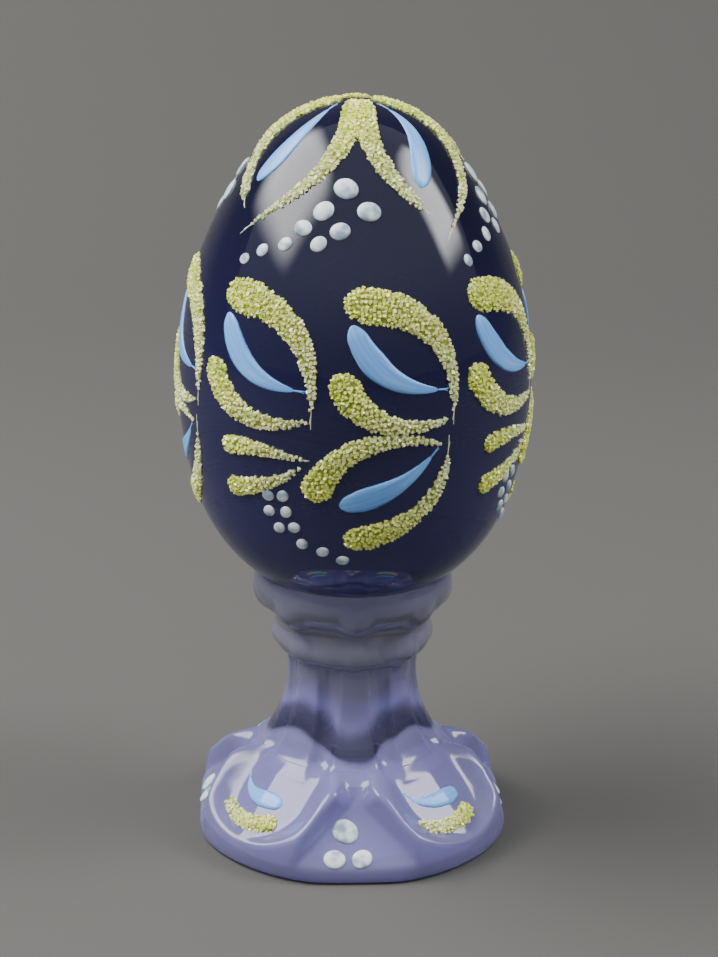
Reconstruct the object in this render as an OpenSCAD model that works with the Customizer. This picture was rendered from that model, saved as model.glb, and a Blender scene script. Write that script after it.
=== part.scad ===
// Hand-decorated glass egg on a moulded glass pedestal.
// Millimetres, +Z up. The origin is the middle of the foot's underside, on the table.

/* [Egg] */
// Height of the top of the bare glass above the table
egg_top = 88.6; // [87.6:0.1:89.6]
// Radius of the egg's round lower end
egg_low_r = 19.4; // [19.2:0.1:19.6]
// Height of the centre of the lower end's sphere
egg_low_z = 48.6; // [48.3:0.1:48.9]
// Radius of the egg's narrow upper end
egg_high_r = 13.7; // [13.4:0.1:14]
// Radius of the long arc that joins the two ends
egg_side_r = 43; // [42:0.5:45]
// Height of the seam where the egg sits down into the pedestal's cup
seam_z = 33.1; // [32.9:0.1:33.3]

/* [Stem] */
// Radius of the stem at its narrowest
neck_r = 7.85; // [7.6:0.05:8.1]
// Height of the narrowest point
neck_z = 20.2; // [19.8:0.1:20.6]
// Radius of the concave arc that flares the stem out to the foot
flare_arc_r = 15.6; // [15:0.1:16.2]
// Radius of the cup at its widest, where its lobes are
cup_r = 12; // [11.8:0.1:12.2]
// Radius of the collar bead under the cup, at its lobes
collar_r = 9.75; // [9.5:0.05:10]
// How many flutes, cup lobes and collar lobes go around the stem
flute_count = 8; // [6:1:10]
// Depth of a flute in the stem
flute_depth = 0.6; // [0.3:0.1:0.8]

/* [Foot] */
// Radius of the foot at the rims of its petals
foot_r = 19.7; // [19.3:0.1:20]
// Distance from the axis to the flat side of the foot between two petals
foot_flat = 18.9; // [18.6:0.1:19.1]
// Height of the upright band below each triangular panel
band_h = 2.1; // [1.8:0.1:2.4]
// Slope of a triangular panel from the table
panel_slope = 48; // [45:1:52]
// Radius of the spoon-shaped hollow in each petal
scoop_r = 10.5; // [10.2:0.1:10.8]
// Depth of the shallow recess under the foot
recess_depth = 0.8; // [0.4:0.1:1.2]

/* [Decoration] */
// Height of the glass-bead frit above the bare glass
frit_h = 0.6; // [0.4:0.05:0.8]
// Thickness of the blue enamel
enamel_h = 0.2; // [0.15:0.05:0.3]
// Thickness of the white enamel dots
dot_h = 0.35; // [0.25:0.05:0.5]
// Turn of the painted pattern against the foot
pattern_turn = -2.5; // [-10:0.5:10]

/* [Hidden] */

// Colours of the glass and of the three kinds of decoration.
cobalt = "#23234a";
lilac = "#8583b5";
frit_green = "#cfd684";
sky_blue = "#8fbdf0";
chalk_white = "#dfe8ee";

// Number of facets around the large round faces, and around the smaller ones.
fine = 200;
big = 80;

// The egg's outline is three arcs: a lower sphere, a side arc whose centre lies across
// the axis, and an upper sphere. They meet tangentially at two heights.
egg_high_z = egg_top - egg_high_r;
ends_gap = egg_high_z - egg_low_z;
to_low = egg_side_r - egg_low_r;
to_high = egg_side_r - egg_high_r;
side_up = (to_low * to_low - to_high * to_high + ends_gap * ends_gap) / (2 * ends_gap);
side_x = -sqrt(to_low * to_low - side_up * side_up);
side_z = egg_low_z + side_up;
join_low_z = hundredth(side_z + egg_side_r * (egg_low_z - side_z) / to_low);
join_high_z = hundredth(side_z + egg_side_r * (egg_high_z - side_z) / to_high);

// Rounds a height to a hundredth of a millimetre, so that neighbouring bands share it.
function hundredth(z) = round(z * 100) / 100;

// Radius of the bare egg at a height.
function egg_r(z) =
    z < join_low_z ? sqrt(egg_low_r * egg_low_r - pow(z - egg_low_z, 2))
    : z < join_high_z ? side_x + sqrt(egg_side_r * egg_side_r - pow(z - side_z, 2))
    : sqrt(egg_high_r * egg_high_r - pow(z - egg_high_z, 2));

// Each petal's hollow is part of a sphere whose centre is outside and above the petal.
scoop_x = 22.5;
scoop_z = 13.2;
scoop_lean = 39;

// Height of the collar bead's middle above the narrowest point of the stem.
collar_rise = 4.4;

// Each triangular panel: where its plane starts, how far up the apex is, how wide it is.
panel_start = foot_flat - 0.2;
panel_rise = 8.2;
panel_half = 8.2;

// A painted pattern repeats this many degrees apart.
quarter = 90;
eighth = 45;

// Directions around the axis of the first motif of each kind.
crown_at = pattern_turn;
between_at = pattern_turn + eighth;
leaf_at = pattern_turn + 12;
bud_at = pattern_turn + 9;
sprig_at = pattern_turn + 55;
petal_at = eighth;

// ---- Brush strokes ----

// A point on a cubic curve through four control points.
function curve_at(p, t) =
    pow(1 - t, 3) * p[0] + 3 * t * pow(1 - t, 2) * p[1]
    + 3 * t * t * (1 - t) * p[2] + pow(t, 3) * p[3];

// The curve's direction, as a unit vector.
function curve_dir(p, t) =
    let (d = curve_at(p, t + 0.01) - curve_at(p, t - 0.01)) d / norm(d);

// Half the width of a stroke. It starts with a round head, swells up to its belly, a share
// of the way along, and fades into a thin tail.
function half_width(w, tail, belly, t) =
    let (head = sqrt(1 - pow(1 - min(t / 0.12, 1), 2)))
    let (swell = t < belly ? 0.6 + 0.4 * sin(90 * t / belly) : 1)
    let (fade = 1 - (1 - tail) * pow(max(t - belly, 0) / (1 - belly), 1.5))
    w / 2 * head * swell * fade;

// A point beside the curve, on its left for side 1 and on its right for side -1.
function beside(p, w, tail, belly, t, side) =
    let (d = curve_dir(p, t))
    curve_at(p, t) + side * max(half_width(w, tail, belly, t), 0.12) * [-d[1], d[0]];

// The outline of one brush stroke, from head to tail and back.
module stroke(p, w, tail = 0.1, belly = 0, steps = 9) {
    go = [for (i = [0:steps]) pow(i / steps, 1.3)];
    polygon(concat(
        [for (t = go) beside(p, w, tail, belly, t, 1)],
        [for (i = [steps:-1:0]) beside(p, w, tail, belly, go[i], -1)]
    ));
}

// Lays a flat drawing on the egg. Its XY plane touches the egg at height z in direction
// turn, leaning back by lean, and the drawing is pressed along its own Z, from behind to
// in front of that plane.
module on_egg(turn, lean, z) {
    behind = 9;
    in_front = 5;
    rotate([0, 0, turn])
        translate([0, -egg_r(z), z])
            rotate([90 - lean, 0, 0])
                translate([0, 0, -behind])
                    linear_extrude(height = behind + in_front)
                        children();
}

// Keeps what lies within h above the bare glass.
module raised_on_egg(h) {
    difference() {
        intersection() {
            egg_body(h);
            children();
        }
        egg_body(0);
    }
}

// ---- Egg ----

// One height band of the egg's outline, as a solid of revolution.
module egg_zone(x, z, r, low, high) {
    rotate_extrude($fn = fine)
        intersection() {
            translate([x, z])
                circle(r = r, $fn = fine);
            translate([0, low])
                square([40, high - low]);
        }
}

// The egg, grown outwards by grow, down to the seam. The middle band stands a hair proud
// of the two ends, so that the three bands join without slivers.
module egg_body(grow) {
    hair = 0.01;
    union() {
        egg_zone(0, egg_low_z, egg_low_r + grow, seam_z, join_low_z);
        egg_zone(side_x, side_z, egg_side_r + grow + hair, join_low_z, join_high_z);
        egg_zone(0, egg_high_z, egg_high_r + grow, join_high_z, egg_top + grow + 1);
    }
}

module egg() {
    color(cobalt)
        egg_body(0);
}

// ---- Pedestal ----

// The cup: a round bowl whose lower edge is drawn out into lobes.
module cup() {
    wall_r = 3.8;
    wall_drop = 1.7;
    lobe_r = 3.1;
    lobe_drop = 2.8;
    core_r = 8.8;
    core_h = 6;
    intersection() {
        union() {
            rotate_extrude($fn = big)
                intersection() {
                    translate([cup_r - wall_r - 0.1, seam_z - wall_drop])
                        circle(r = wall_r, $fn = big);
                    square([40, seam_z]);
                }
            for (k = [0:flute_count - 1])
                rotate([0, 0, k * 360 / flute_count])
                    translate([0, -(cup_r - lobe_r), seam_z - lobe_drop])
                        sphere(r = lobe_r, $fn = big);
            translate([0, 0, seam_z - core_h])
                cylinder(h = core_h, r = core_r, $fn = big);
        }
        cylinder(h = seam_z, r = 30, $fn = big);
    }
}

// The collar bead under the cup, and the groove between the two.
module collar() {
    bead_r = 2.15;
    bead_back = 0.25;
    bead_z = neck_z + collar_rise;
    rotate_extrude($fn = big)
        intersection() {
            translate([collar_r - bead_r - bead_back, bead_z])
                circle(r = bead_r, $fn = big);
            square([40, 40]);
        }
    for (k = [0:flute_count - 1])
        rotate([0, 0, k * 360 / flute_count])
            translate([0, -(collar_r - bead_r), bead_z])
                sphere(r = bead_r, $fn = big);
    translate([0, 0, bead_z])
        cylinder(h = 4, r = collar_r - 0.5, $fn = big);
}

// The stem: a column hollowed by one concave arc, wide enough to meet the foot.
module stem() {
    flare_r = 12.2;
    flare_low = 6;
    rotate_extrude($fn = fine)
        difference() {
            translate([0, flare_low])
                square([flare_r, neck_z + collar_rise - flare_low]);
            translate([neck_r + flare_arc_r, neck_z])
                circle(r = flare_arc_r, $fn = fine);
        }
}

// One flute: a round groove that follows the stem's concave arc. Its ends are hidden
// inside the collar and the foot.
module flute() {
    groove_r = 2;
    path_r = flare_arc_r + flute_depth - groove_r;
    below = 46;
    above = 16;
    translate([0, -(neck_r + flare_arc_r), neck_z])
        rotate([90, 0, 90])
            rotate([0, 0, -below])
                rotate_extrude(angle = below + above, $fn = big)
                    translate([path_r, 0])
                        circle(r = groove_r, $fn = 32);
}

module fluted_stem() {
    difference() {
        stem();
        for (k = [0:flute_count - 1])
            rotate([0, 0, (k + 0.5) * 360 / flute_count])
                flute();
    }
}

// The foot's full round dome, before panels and hollows are cut from it.
module foot_dome() {
    bulge_r = 8.3;
    bulge_z = 2.3;
    rotate_extrude($fn = fine)
        intersection() {
            union() {
                translate([foot_r - bulge_r, bulge_z])
                    circle(r = bulge_r, $fn = fine);
                square([foot_r - bulge_r, bulge_r + bulge_z]);
            }
            square([40, 40]);
        }
}

// Takes one triangular panel and the flat side below it off the dome.
module panel_cut() {
    reach = 4;
    half_low = panel_half * (panel_rise + reach) / panel_rise;
    translate([0, -panel_start, band_h])
        rotate([panel_slope, 0, 0])
            linear_extrude(height = 12)
                polygon([[0, panel_rise], [-half_low, -reach], [half_low, -reach]]);
    translate([-20, -foot_flat - 5, -1])
        cube([40, 5, 30]);
}

// Takes the spoon-shaped hollow out of one petal.
module scoop_cut() {
    translate([0, -scoop_x, scoop_z])
        sphere(r = scoop_r, $fn = fine);
}

// The recess under the foot, so that it stands on a ring.
module recess() {
    recess_r = 12;
    ball_r = (recess_r * recess_r + recess_depth * recess_depth) / (2 * recess_depth);
    translate([0, 0, recess_depth - ball_r])
        sphere(r = ball_r, $fn = fine);
}

module pedestal() {
    color(lilac)
        difference() {
            union() {
                cup();
                collar();
                fluted_stem();
                foot_dome();
            }
            for (k = [0:3]) {
                rotate([0, 0, k * quarter])
                    panel_cut();
                rotate([0, 0, petal_at + k * quarter])
                    scoop_cut();
            }
            recess();
        }
}

// ---- Decoration of the egg ----

// Crown: a trunk from the top of the egg that splits into two branches.
module crown_frit(k) {
    color(frit_green)
        raised_on_egg(frit_h)
            on_egg(crown_at + k * quarter, 55, 84) {
                stroke([[-0.3, 9.6], [0, 0.5], [-3.5, -4], [-11.5, -4.8]], 2.8);
                stroke([[0.5, 9.6], [0.6, 1.5], [2, -2.2], [7.4, -5]], 2.8, 0.4);
            }
}

module crown_blue(k) {
    color(sky_blue)
        raised_on_egg(enamel_h)
            on_egg(between_at + k * quarter, 40, 80)
                stroke([[-2.8, 0.6], [-0.8, 4], [0.8, 7], [0.2, 12]], 2.8, belly = 0.3);
}

// The dots trail down to one side below the split, and get smaller.
module crown_dots(k) {
    places = [[-1.1, 3], [1.4, 0.4], [-3.5, 0.6], [-1.7, -1.8], [-5.7, -1],
              [-4, -3], [-7.6, -2.4], [-10.1, -2.4], [-12.1, -2.6]];
    color(chalk_white)
        raised_on_egg(dot_h)
            on_egg(crown_at + k * quarter, 40, 78)
                for (i = [0:len(places) - 1])
                    translate(places[i])
                        circle(r = 1.3 - 0.08 * i, $fn = 24);
}

// Leaf: two frit strokes that close around a blue one, in the egg's widest band.
module leaf_frit(k) {
    color(frit_green)
        raised_on_egg(frit_h)
            on_egg(leaf_at + k * eighth, 0, 58) {
                stroke([[-5, 11], [3, 11.5], [7.5, 7], [7, -0.8]], 3.8);
                stroke([[-5.8, 3.8], [-4.5, -1.5], [0.5, -3.2], [6.6, -1.6]], 3.4);
            }
}

module leaf_blue(k) {
    color(sky_blue)
        raised_on_egg(enamel_h)
            on_egg(leaf_at + k * eighth, 0, 58)
                stroke([[-4.3, 9], [-2.8, 4.5], [0, 1.9], [5.6, 1.7]], 3.1, belly = 0.35);
}

// Bud: the same idea lower down, opening to the left.
module bud_frit(k) {
    color(frit_green)
        raised_on_egg(frit_h)
            on_egg(bud_at + k * quarter, -15, 43) {
                stroke([[-7.4, 4], [-6.5, 9.5], [-1, 13.5], [6.8, 10.4]], 3.2);
                stroke([[-3.9, -0.8], [2.5, 0], [7, 3.5], [7.4, 9]], 3.2);
            }
}

module bud_blue(k) {
    color(sky_blue)
        raised_on_egg(enamel_h)
            on_egg(bud_at + k * quarter, -15, 43)
                stroke([[-4.6, 3.6], [-1, 5], [2.5, 5.8], [5.8, 9.6]], 3, belly = 0.3);
}

// Sprig: two short strokes that point the same way, with a trail of dots below.
module sprig_frit(k) {
    color(frit_green)
        raised_on_egg(frit_h)
            on_egg(sprig_at + k * quarter, -15, 43) {
                stroke([[-3.4, 9.3], [-0.5, 10.1], [3, 9.9], [6.6, 8.9]], 2.1);
                stroke([[-3.2, 4.4], [-0.5, 5], [3.4, 5.8], [6.2, 7.9]], 2.3);
            }
}

module sprig_dots(k) {
    places = [[2.2, 4.3], [4, 4.4], [2, 2.3], [4.1, 2.4], [2.9, 0.2],
              [4.7, 0.4], [5.2, -1.8], [7.2, -2.9], [8.9, -4.3]];
    color(chalk_white)
        raised_on_egg(dot_h)
            on_egg(sprig_at + k * quarter, -15, 43)
                for (i = [0:len(places) - 1])
                    translate(places[i])
                        circle(r = 0.75, $fn = 24);
}

// ---- Decoration of the foot ----

// Keeps what lies within h above a petal's hollow. The drawing's XY plane touches the
// hollow at its middle.
module raised_in_scoop(k, h) {
    rotate([0, 0, petal_at + k * quarter])
        translate([0, -scoop_x, scoop_z])
            intersection() {
                difference() {
                    sphere(r = scoop_r, $fn = fine);
                    sphere(r = scoop_r - h, $fn = fine);
                }
                rotate([90 - scoop_lean, 0, 0])
                    translate([0, 0, -scoop_r - 1])
                        linear_extrude(height = 8)
                            children();
            }
}

module foot_frit(k) {
    color(frit_green)
        raised_in_scoop(k, frit_h)
            stroke([[3, -2.2], [1, -3.4], [-3.2, -4], [-5.2, -1.4]], 2, 0.6);
}

module foot_blue(k) {
    color(sky_blue)
        raised_in_scoop(k, enamel_h)
            stroke([[2.6, 0.1], [0.6, 0.1], [-2.8, -0.8], [-4.4, 2]], 2.3, belly = 0.35);
}

// Three dots on each triangular panel, a large one above two smaller ones, placed by hand
// and so a little different every time.
module foot_dots(k) {
    places = [
        [[-1.3, 4.4], [-2.6, 1.3], [0.6, 1.3]],
        [[-1.5, 4.3], [-2.6, 1.4], [0.7, 1.3]],
        [[-1.2, 4.4], [-2.5, 1.3], [0.7, 1.4]],
        [[0.5, 4.5], [-2.4, 1.5], [0.6, 1.3]]
    ];
    sizes = [1.5, 1.2, 1.2];
    color(chalk_white)
        rotate([0, 0, k * quarter])
            translate([0, -panel_start, band_h])
                rotate([panel_slope, 0, 0])
                    for (i = [0:2])
                        translate(places[k][i])
                            cylinder(h = dot_h, r = sizes[i], $fn = 24);
}

// ---- Assembly ----

egg();
pedestal();
for (k = [1:4]) {
    crown_frit(k - 1);
    crown_blue(k - 1);
    crown_dots(k - 1);
    bud_frit(k - 1);
    bud_blue(k - 1);
    sprig_frit(k - 1);
    sprig_dots(k - 1);
    foot_frit(k - 1);
    foot_blue(k - 1);
    foot_dots(k - 1);
}
for (k = [1:8]) {
    leaf_frit(k - 1);
    leaf_blue(k - 1);
}
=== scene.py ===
# %% [markdown]
# # A painted glass egg on a moulded glass foot
#
# The ornament is a solid egg of deep cobalt-violet glass on a pressed glass pedestal. Four
# kinds of hand decoration lie on it: raised strokes of pale yellow-green glass grains, called
# frit, sky-blue enamel strokes, white enamel dots, and hair-thin brush tails.
#
# The frame comes first.

# %% Load the frame
import math
import bpy
import numpy as np
from mathutils import Matrix, Vector


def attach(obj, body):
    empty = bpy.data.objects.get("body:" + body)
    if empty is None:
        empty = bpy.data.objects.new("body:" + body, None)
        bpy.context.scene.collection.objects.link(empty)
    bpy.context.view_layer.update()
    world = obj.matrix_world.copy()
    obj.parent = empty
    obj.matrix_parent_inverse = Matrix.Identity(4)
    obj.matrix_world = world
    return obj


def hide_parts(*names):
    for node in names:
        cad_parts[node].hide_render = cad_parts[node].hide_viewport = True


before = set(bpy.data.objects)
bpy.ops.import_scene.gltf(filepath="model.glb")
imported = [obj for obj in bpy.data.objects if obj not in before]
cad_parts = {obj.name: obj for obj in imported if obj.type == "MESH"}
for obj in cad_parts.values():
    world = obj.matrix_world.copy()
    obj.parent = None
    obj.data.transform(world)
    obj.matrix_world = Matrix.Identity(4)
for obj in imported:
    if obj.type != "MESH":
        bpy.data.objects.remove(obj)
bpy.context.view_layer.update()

# %% [markdown]
# ## The camera
#
# A small object seen from close by shows strong perspective: the camera looks down on the foot
# far more steeply than on the top of the egg. So the camera gets its real distance first, about
# a quarter of a metre, and the lens is chosen afterwards to fill the frame.

# %% Camera
MM = 0.001
CAMERA_REACH = 240.9
CAMERA_HEIGHT = 120.2
CAMERA_TURN = math.radians(-2.5)
PITCH, YAW, ROLL = math.radians(17.61), math.radians(0.15), math.radians(0.58)
LENS = 80.125


def camera_axes():
    """The camera's right, up and backward directions, as unit vectors."""
    ahead = Vector((math.sin(YAW) * math.cos(PITCH), math.cos(YAW) * math.cos(PITCH), -math.sin(PITCH)))
    right = ahead.cross(Vector((0, 0, 1))).normalized()
    up = right.cross(ahead)
    rolled_right = right * math.cos(ROLL) + up * math.sin(ROLL)
    rolled_up = up * math.cos(ROLL) - right * math.sin(ROLL)
    turn = Matrix.Rotation(CAMERA_TURN, 3, "Z")
    return turn @ rolled_right, turn @ rolled_up, turn @ -ahead


cam_right, cam_up, cam_back = camera_axes()
camera = bpy.data.objects.new("camera", bpy.data.cameras.new("camera"))
bpy.context.scene.collection.objects.link(camera)
camera.matrix_world = Matrix(
    [[cam_right[i], cam_up[i], cam_back[i], 0] for i in range(3)] + [[0, 0, 0, 1]]
)
stand = Vector((0, -CAMERA_REACH * MM, CAMERA_HEIGHT * MM))
camera.location = Matrix.Rotation(CAMERA_TURN, 3, "Z") @ stand
camera.data.sensor_width = 36
camera.data.lens = LENS
camera.data.clip_start = 0.01
bpy.context.scene.camera = camera
print("camera lens, mm:", round(camera.data.lens, 2))

# %% [markdown]
# ## Helpers
#
# All shapes are worked out in millimetres with numpy and turned into metres at the end. A mesh
# is a list of points and a list of faces, so a few short functions build every piece.

# %% Mesh helpers


def make_mesh(name, points, faces, finish, uv=None, smooth=True):
    """A mesh object from points in millimetres. uv holds one pair of numbers per point."""
    mesh = bpy.data.meshes.new(name)
    mesh.from_pydata((np.asarray(points) * MM).tolist(), [], faces)
    mesh.materials.append(finish)
    if smooth:
        mesh.shade_smooth()
    if uv is not None:
        corners = np.zeros(len(mesh.loops), np.int32)
        mesh.loops.foreach_get("vertex_index", corners)
        layer = mesh.uv_layers.new(name="along")
        layer.data.foreach_set("uv", np.asarray(uv, np.float32)[corners].ravel())
    piece = bpy.data.objects.new(name, mesh)
    bpy.context.scene.collection.objects.link(piece)
    return piece


def ring_faces(rows, columns):
    """Quads that join each closed ring of points to the next one."""
    faces = []
    for i in range(rows - 1):
        for j in range(columns):
            k = (j + 1) % columns
            faces.append((i * columns + j, i * columns + k, (i + 1) * columns + k, (i + 1) * columns + j))
    return faces


def cap_faces(row, columns, pole, flip=False):
    """Triangles that close one ring onto a pole point."""
    faces = [(row * columns + j, row * columns + (j + 1) % columns, pole) for j in range(columns)]
    return [face[::-1] for face in faces] if flip else faces


def dress(piece, slot, *nodes):
    """Parents a piece to the root body and hides the CAD nodes that it stands for. slot is not used."""
    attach(piece, "root")
    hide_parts(*nodes)


# %% Material helpers


def srgb(code):
    """A hex colour such as #8fbdf0 as linear red, green, blue and alpha."""
    parts = [int(code[i:i + 2], 16) / 255 for i in (1, 3, 5)]
    return [c / 12.92 if c <= 0.04045 else ((c + 0.055) / 1.055) ** 2.4 for c in parts] + [1]


def add(tree, kind, values=(), links=(), **settings):
    """Adds a node, sets its properties and socket values, and links its inputs."""
    node = tree.nodes.new(kind)
    for name, value in settings.items():
        setattr(node, name, value)
    for socket, value in dict(values).items():
        node.inputs[socket].default_value = value
    for socket, source in dict(links).items():
        tree.links.new(source, node.inputs[socket])
    return node


def new_material(name):
    """An empty material with only its output node."""
    material = bpy.data.materials.new(name)
    material.use_nodes = True
    material.node_tree.nodes.clear()
    return material, material.node_tree, add(material.node_tree, "ShaderNodeOutputMaterial")


# %% [markdown]
# ## Cobalt and lilac pressed glass
#
# Glass has no colour on its surface: light is tinted on its way through, so a thick part goes
# nearly black while a thin rim stays lilac. Volume Absorption does just that. The surface has a
# refractive index of 1.5, a little roughness and the slow ripple of glass that was pressed in a
# mould and fire-polished. Part of the light is turned back just under the surface, as in
# slightly cloudy glass, and a ramp over the height gives it painted light and shade: dark at the
# foot of the stem, a pale glow band above it, pale on the petals, and on the egg lighter low
# down and darker towards the top.

# %% Glass


def pressed_glass(name, tint, density, light_and_shade_by_height, clear, ripple_mm, light_lobes_mm=0.0):
    """Glass with an absorbing body. The list of colours by height, in millimetres, colours its faint
    cloudiness with painted light and shade. These colours sit higher on the petals by the lobe
    lift in millimetres, and lower between them. clear is the share of light let through."""
    material, tree, out = new_material(name)
    coords = add(tree, "ShaderNodeTexCoord")
    ripple = add(tree, "ShaderNodeTexNoise", {"Scale": 1 / (ripple_mm * MM), "Detail": 1.5},
                 {"Vector": coords.outputs["Object"]})
    bump = add(tree, "ShaderNodeBump", {"Strength": 0.25, "Distance": 0.00012},
               {"Height": ripple.outputs["Fac"]})
    place = add(tree, "ShaderNodeSeparateXYZ", links={"Vector": coords.outputs["Object"]})
    wander = add(tree, "ShaderNodeMath", {1: 2.4 * MM, 2: -1.2 * MM}, {0: ripple.outputs["Fac"]},
                 operation="MULTIPLY_ADD")
    around = add(tree, "ShaderNodeMath", links={0: place.outputs["X"], 1: place.outputs["Y"]},
                 operation="ARCTAN2")
    four = add(tree, "ShaderNodeMath", {1: 4.0}, {0: around.outputs[0]}, operation="MULTIPLY")
    lobe = add(tree, "ShaderNodeMath", links={0: four.outputs[0]}, operation="COSINE")
    lift = add(tree, "ShaderNodeMath", {1: light_lobes_mm * MM}, {0: lobe.outputs[0], 2: wander.outputs[0]},
               operation="MULTIPLY_ADD")
    height = add(tree, "ShaderNodeMath", links={0: place.outputs["Z"], 1: lift.outputs[0]})
    top = 100 * MM
    share = add(tree, "ShaderNodeMath", {1: top}, {0: height.outputs[0]}, operation="DIVIDE")
    painted_light_ramp = add(tree, "ShaderNodeValToRGB", links={"Fac": share.outputs[0]})
    while len(painted_light_ramp.color_ramp.elements) < len(light_and_shade_by_height):
        painted_light_ramp.color_ramp.elements.new(1.0)
    for element, (z, code) in zip(painted_light_ramp.color_ramp.elements, light_and_shade_by_height):
        element.position = z * MM / top
        element.color = srgb(code)
    shader = add(tree, "ShaderNodeBsdfPrincipled",
                 {"Roughness": 0.03, "IOR": 1.5, "Transmission Weight": clear},
                 {"Base Color": painted_light_ramp.outputs["Color"], "Normal": bump.outputs["Normal"]})
    body = add(tree, "ShaderNodeVolumeAbsorption", {"Color": srgb(tint), "Density": density})
    tree.links.new(shader.outputs["BSDF"], out.inputs["Surface"])
    tree.links.new(body.outputs["Volume"], out.inputs["Volume"])
    return material


# Painted light and shade by height: egg lighter low down, stem dark at its foot, pale petals.
cobalt_glass = pressed_glass("cobalt violet pressed glass", "#6a68c8", 240,
                             [(36, "#6a6ac6"), (52, "#505096"), (78, "#3a3a64")], 0.78, 9)
lilac_glass = pressed_glass("lilac pressed glass", "#9a97cc", 40,
                            [(11.0, "#a9a6e0"), (12.7, "#b2afe6"), (13.3, "#4f4c68"), (15.5, "#6c698c"),
                             (17.0, "#b4b1f0"), (19.0, "#a3a0c0"), (27.0, "#acaabc"), (33.0, "#9f9dc0")],
                            0.62, 7, 1.3)


def ground_glass(name, colour):
    """The frosted underside, ground flat: pale and matt, it lights up the foot from below."""
    material, tree, out = new_material(name)
    coords = add(tree, "ShaderNodeTexCoord")
    grit = add(tree, "ShaderNodeTexNoise", {"Scale": 1 / (0.3 * MM), "Detail": 2},
               {"Vector": coords.outputs["Object"]})
    bump = add(tree, "ShaderNodeBump", {"Strength": 0.3, "Distance": 0.00005},
               {"Height": grit.outputs["Fac"]})
    shader = add(tree, "ShaderNodeBsdfPrincipled",
                 {"Base Color": srgb(colour), "Roughness": 0.7, "IOR": 1.5},
                 {"Normal": bump.outputs["Normal"]})
    tree.links.new(shader.outputs["BSDF"], out.inputs["Surface"])
    return material


ground_base = ground_glass("ground glass base", "#dedbf6")

# %% [markdown]
# ## The egg
#
# The egg's outline is three arcs that meet tangentially. A solid of revolution is simplest as a
# lathe: rings of points at many heights, joined by quads and closed by a pole at each end.

# %% Egg outline
EGG_TOP, SEAM_Z = 88.6, 33.1
LOW_R, LOW_Z = 19.4, 48.6
HIGH_R = 13.7
SIDE_R = 43.0
HIGH_Z = EGG_TOP - HIGH_R
GAP = HIGH_Z - LOW_Z
SIDE_UP = ((SIDE_R - LOW_R) ** 2 - (SIDE_R - HIGH_R) ** 2 + GAP ** 2) / (2 * GAP)
SIDE_X = -math.sqrt((SIDE_R - LOW_R) ** 2 - SIDE_UP ** 2)
SIDE_Z = LOW_Z + SIDE_UP
JOIN_LOW = SIDE_Z + SIDE_R * (LOW_Z - SIDE_Z) / (SIDE_R - LOW_R)
JOIN_HIGH = SIDE_Z + SIDE_R * (HIGH_Z - SIDE_Z) / (SIDE_R - HIGH_R)


def egg_arc(z):
    """Centre x, centre z and radius of the arc that makes the outline at each height."""
    z = np.asarray(z, float)
    pick = [z < JOIN_LOW, z < JOIN_HIGH]
    return (np.select(pick, [0.0, SIDE_X], 0.0), np.select(pick, [LOW_Z, SIDE_Z], HIGH_Z),
            np.select(pick, [LOW_R, SIDE_R], HIGH_R))


def egg_radius(z):
    """Radius of the bare glass at each height, negative above the top."""
    x, centre, r = egg_arc(z)
    inside = r ** 2 - (z - centre) ** 2
    return np.where(inside > 0, x + np.sqrt(np.maximum(inside, 0)), inside)


def egg_normal(points):
    """Outward direction of the glass at points on it."""
    x, centre, _ = egg_arc(points[:, 2])
    around = np.hypot(points[:, 0], points[:, 1])
    out = np.stack([points[:, 0] / np.maximum(around, 1e-9) * (around - x),
                    points[:, 1] / np.maximum(around, 1e-9) * (around - x),
                    points[:, 2] - centre], 1)
    return out / np.linalg.norm(out, axis=1, keepdims=True)


# %% Egg piece
EGG_COLUMNS = 160
lean_angles = np.linspace(0, 1, 150) ** 0.9
heights = SEAM_Z + (EGG_TOP - SEAM_Z) * np.sin(lean_angles * math.pi / 2)
heights = heights[:-1]
turns = np.linspace(0, 2 * math.pi, EGG_COLUMNS, endpoint=False)
egg_points = [(r * math.sin(a), -r * math.cos(a), z)
              for z, r in zip(heights, egg_radius(heights)) for a in turns]
egg_points += [(0, 0, SEAM_Z), (0, 0, EGG_TOP)]
egg_faces = ring_faces(len(heights), EGG_COLUMNS)
egg_faces += cap_faces(0, EGG_COLUMNS, len(egg_points) - 2, flip=True)
egg_faces += cap_faces(len(heights) - 1, EGG_COLUMNS, len(egg_points) - 1)
egg = make_mesh("egg_glass", egg_points, egg_faces, cobalt_glass)
dress(egg, "cobalt_glass", "egg")
print("egg faces:", len(egg_faces))

# %% [markdown]
# ## The pedestal
#
# Pressed glass has no sharp corners: lobes, flutes and petals melt into each other. Such a shape
# is easiest as a field, a function that is negative inside the glass and positive outside. Two
# fields join with a smooth minimum, and one is cut from another with a smooth maximum, so every
# edge gets its small round by itself. A net of rays then finds where the field is zero.
#
# Each petal is a long bowl with a raised leaf in it. The leaf has two flat faces on either side
# of a midrib, and each face mirrors the light as one clean patch.

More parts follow.
